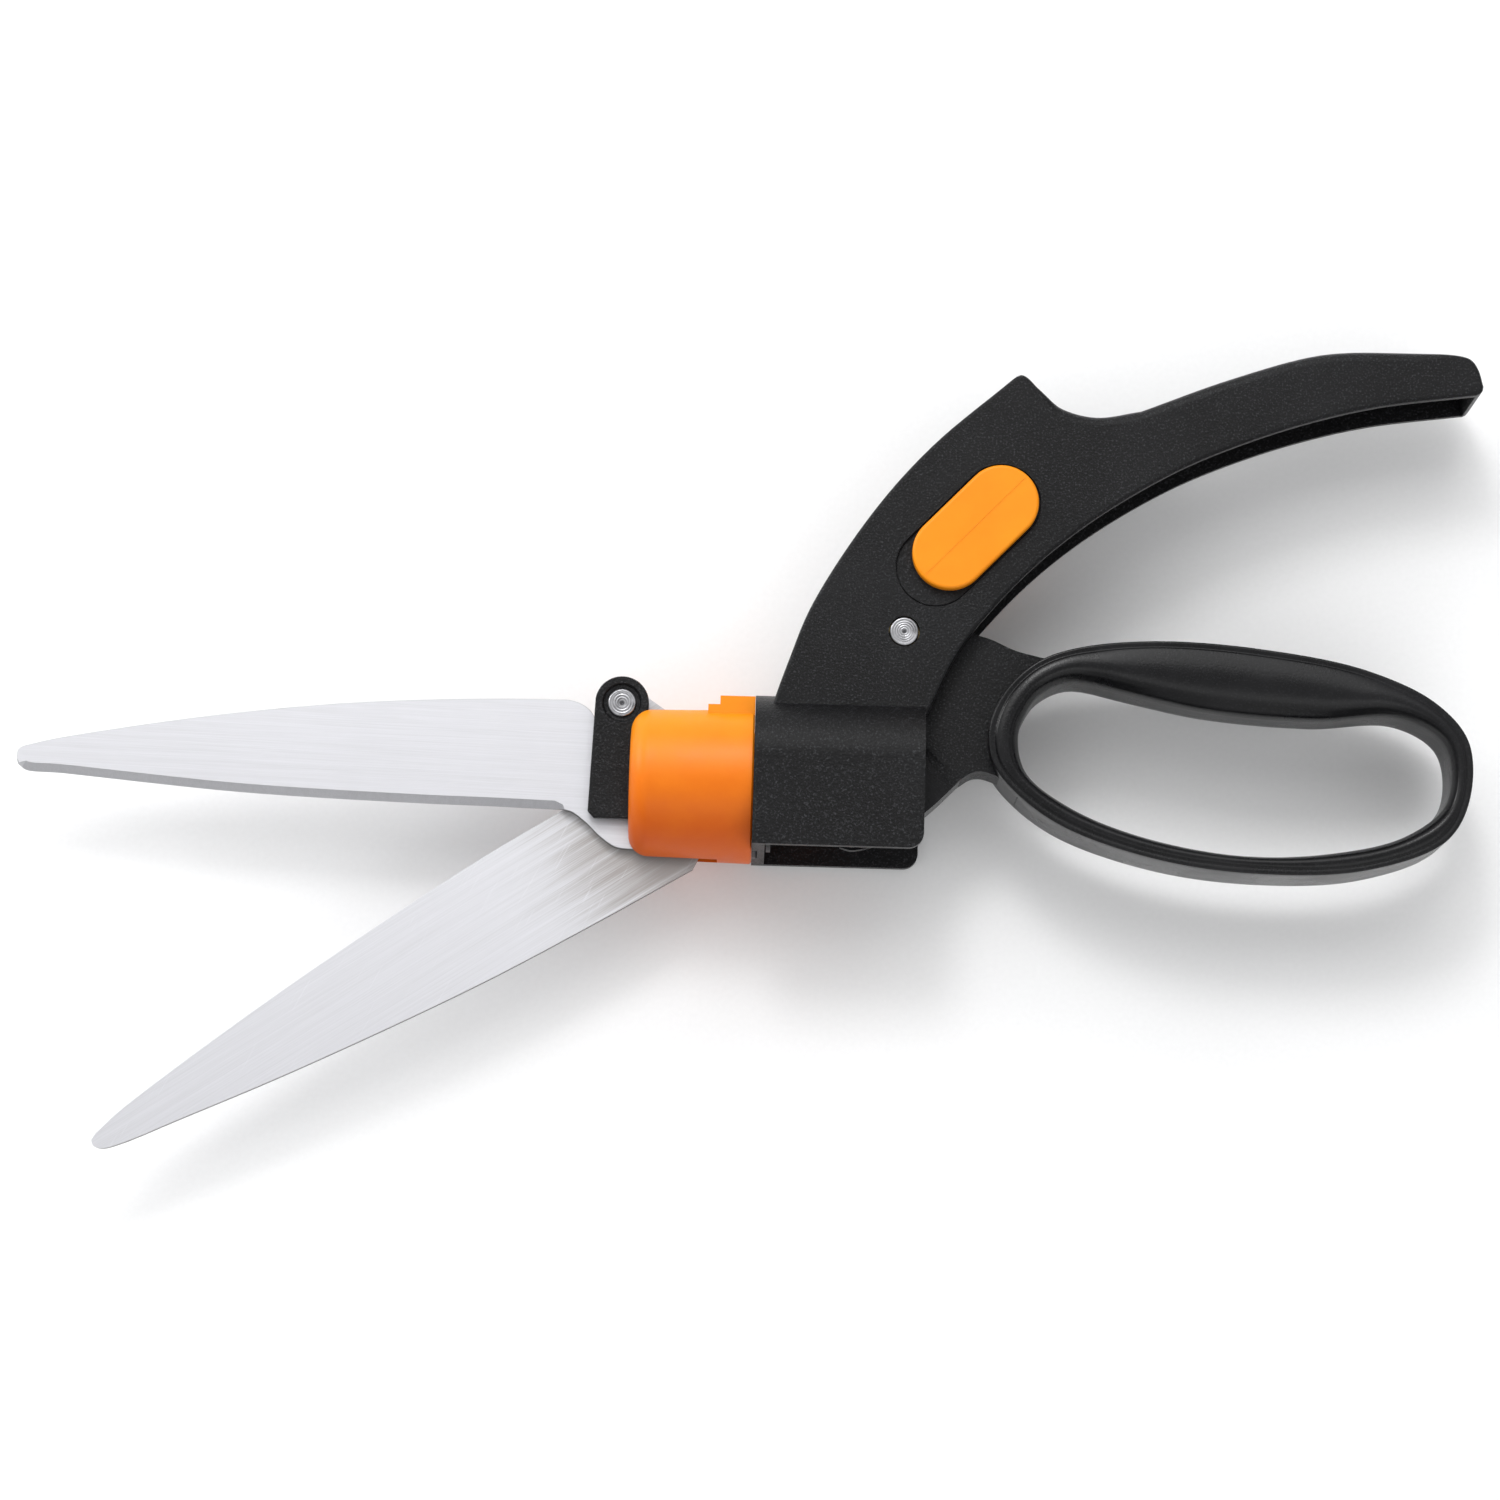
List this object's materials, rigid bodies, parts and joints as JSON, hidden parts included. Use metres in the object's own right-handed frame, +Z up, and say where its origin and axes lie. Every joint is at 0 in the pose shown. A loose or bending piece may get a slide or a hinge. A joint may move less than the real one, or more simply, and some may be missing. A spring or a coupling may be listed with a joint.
{
  "type": "grass shears",
  "caption": "One-handed grass shears: two blades in a swivelling collar, closed by squeezing a finger loop under an arched palm handle, with a thumb lock slider.",
  "frame": {"origin": "on the flat far side of the housing, straight below the swivel axis and 18 mm ahead of the housing's handle end", "axes": "+X along the head's swivel axis from the blades to the handles, +Y in the plane of the blades towards the upper handle, +Z up through the thickness of the shears as they lie on their side"},
  "size_m": [0.3314, 0.1894, 0.038],
  "materials": {
    "matt_black": "fine-grained matt black moulding",
    "satin_black": "smooth satin black moulding",
    "orange": "satin orange moulding",
    "blade_steel": "brushed stainless steel, grain along the blade",
    "rivet_steel": "turned bright steel",
    "spring_steel": "oiled spring steel",
    "bearing_white": "natural acetal",
    "brass": "plain bearing brass"
  },
  "bodies": {
    "upper_handle": {"handle_body": "matt_black", "handle_pivot_rivet": "rivet_steel", "handle_pivot_bush": "brass", "bearing_bush": "bearing_white", "swivel_friction_ring": "spring_steel"},
    "head": {"swivel_collar": "orange", "collar_retaining_ring": "spring_steel", "fixed_blade": "blade_steel", "tang_pin": "rivet_steel", "blade_pivot_rivet": "rivet_steel", "blade_spring_washer": "spring_steel", "spring_seat_washer": "bearing_white"},
    "drive": {"yoke": "matt_black", "drive_rivet": "rivet_steel", "drive_bush": "brass", "pull_rod": "rivet_steel", "thrust_washer": "brass", "rod_button": "rivet_steel", "return_spring": "spring_steel"},
    "cutter": {"moving_blade": "blade_steel"},
    "trigger": {"lower_handle": "satin_black"},
    "lock": {"lock_button_front": "orange", "lock_button_back": "orange", "lock_bar": "matt_black", "lock_pin_1": "rivet_steel", "lock_pin_2": "rivet_steel"}
  },
  "joints": [
    {"name": "head_swivel", "type": "hinge", "parent": "upper_handle", "child": "head", "pos_m": [0, 0, 0.019], "axis": [1, 0, 0], "continuous": true},
    {"name": "handle_squeeze", "type": "hinge", "parent": "upper_handle", "child": "trigger", "pos_m": [0.0134, 0.0348, 0.019], "axis": [0, 0, 1], "range_deg": [0, 29], "stiffness_Nm_per_rad": 1.2, "springref_deg": -20.05},
    {"name": "yoke_slide", "type": "slide", "parent": "head", "child": "drive", "axis": [1, 0, 0], "range_m": [0, 0.01778], "deforming": ["return_spring"]},
    {"name": "blade_pivot", "type": "hinge", "parent": "head", "child": "cutter", "pos_m": [-0.0419, -0.0095, 0.019], "axis": [0, 0, -1], "range_deg": [0, 36.25]},
    {"name": "lock_slide", "type": "slide", "parent": "upper_handle", "child": "lock", "axis": [-0.6921, -0.7218, 0], "range_m": [0, 0.0045]}
  ],
  "couplings": [
    {"joint": "yoke_slide", "follows": "handle_squeeze", "m_per_rad": 0.035023},
    {"joint": "blade_pivot", "follows": "handle_squeeze", "ratio": 1.2482}
  ]
}
